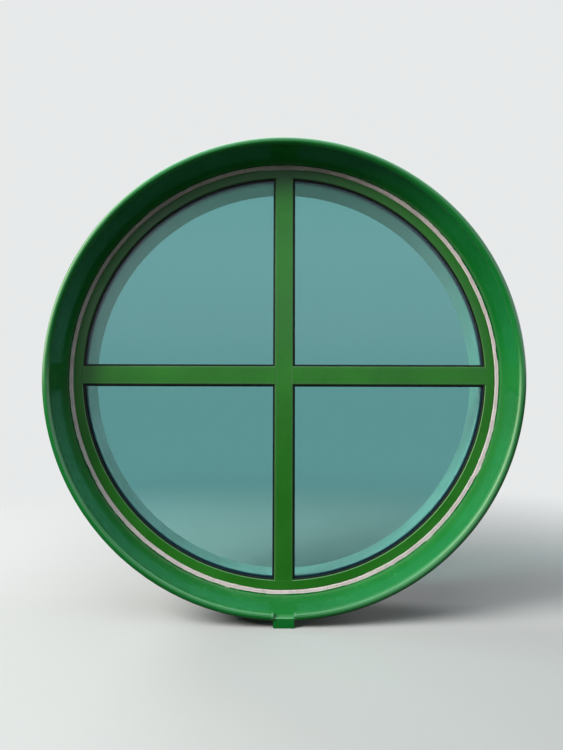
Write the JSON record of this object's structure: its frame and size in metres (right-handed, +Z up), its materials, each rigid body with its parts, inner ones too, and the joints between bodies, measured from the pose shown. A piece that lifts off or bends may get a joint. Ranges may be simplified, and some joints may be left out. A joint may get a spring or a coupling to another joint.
{
  "type": "round window",
  "caption": "Round fixed window: four quadrant double-glazed units in a bent frame with a cross of bars, a conical painted reveal, a rim tube and a drip spout.",
  "frame": {"origin": "centre of the window, on its axis, in the plane where the fixing flange bears on the wall", "axes": "+Z up, +X to the right as seen from outside, +Y along the window's axis into the room, so the outside faces -Y"},
  "size_m": [1.9995, 0.4308, 2.0257],
  "materials": {
    "painted_steel": "gloss enamel, weathered",
    "coated_frame_outside": "satin powder coat",
    "coated_frame_inside": "satin powder coat",
    "break_strip": "matte",
    "window_glass": "solar control coating, polished",
    "spacer_bar": "satin",
    "edge_seal": "matte",
    "gasket_rubber": "satin",
    "sealant": "tooled, matte",
    "foam_rod": "matte foam",
    "packer_plastic": "matte",
    "cast_connector": "die cast",
    "zinc_screw": "zinc plated",
    "painted_lining": "pale eggshell paint"
  },
  "bodies": {
    "root": {"arc_bead_lower_left": "coated_frame_inside", "arc_bead_lower_right": "coated_frame_inside", "arc_bead_upper_left": "coated_frame_inside", "arc_bead_upper_right": "coated_frame_inside", "backer_rod": "foam_rod", "bar_connectors": "cast_connector", "drip_spout": "painted_steel", "fixing_collar": "painted_steel", "fixing_flange": "painted_steel", "frame_packers": "packer_plastic", "frame_screws": "zinc_screw", "horizontal_bead_lower_left": "coated_frame_inside", "horizontal_bead_lower_right": "coated_frame_inside", "horizontal_bead_upper_left": "coated_frame_inside", "horizontal_bead_upper_right": "coated_frame_inside", "inside_gasket_lower_left": "gasket_rubber", "inside_gasket_lower_right": "gasket_rubber", "inside_gasket_upper_left": "gasket_rubber", "inside_gasket_upper_right": "gasket_rubber", "interior_lining": "painted_lining", "mullion_shell_inside": "coated_frame_inside", "mullion_shell_outside": "coated_frame_outside", "mullion_thermal_breaks": "break_strip", "outside_gasket_lower_left": "gasket_rubber", "outside_gasket_lower_right": "gasket_rubber", "outside_gasket_upper_left": "gasket_rubber", "outside_gasket_upper_right": "gasket_rubber", "perimeter_sealant": "sealant", "reveal_cone": "painted_steel", "rim_tube": "painted_steel", "ring_shell_inside": "coated_frame_inside", "ring_shell_outside": "coated_frame_outside", "ring_thermal_breaks": "break_strip", "setting_blocks": "packer_plastic", "transom_left_shell_inside": "coated_frame_inside", "transom_left_shell_outside": "coated_frame_outside", "transom_left_thermal_breaks": "break_strip", "transom_right_shell_inside": "coated_frame_inside", "transom_right_shell_outside": "coated_frame_outside", "transom_right_thermal_breaks": "break_strip", "unit_lower_left_edge_seal": "edge_seal", "unit_lower_left_inner_pane": "window_glass", "unit_lower_left_outer_pane": "window_glass", "unit_lower_left_spacer": "spacer_bar", "unit_lower_right_edge_seal": "edge_seal", "unit_lower_right_inner_pane": "window_glass", "unit_lower_right_outer_pane": "window_glass", "unit_lower_right_spacer": "spacer_bar", "unit_upper_left_edge_seal": "edge_seal", "unit_upper_left_inner_pane": "window_glass", "unit_upper_left_outer_pane": "window_glass", "unit_upper_left_spacer": "spacer_bar", "unit_upper_right_edge_seal": "edge_seal", "unit_upper_right_inner_pane": "window_glass", "unit_upper_right_outer_pane": "window_glass", "unit_upper_right_spacer": "spacer_bar", "vertical_bead_lower_left": "coated_frame_inside", "vertical_bead_lower_right": "coated_frame_inside", "vertical_bead_upper_left": "coated_frame_inside", "vertical_bead_upper_right": "coated_frame_inside"}
  },
  "joints": []
}
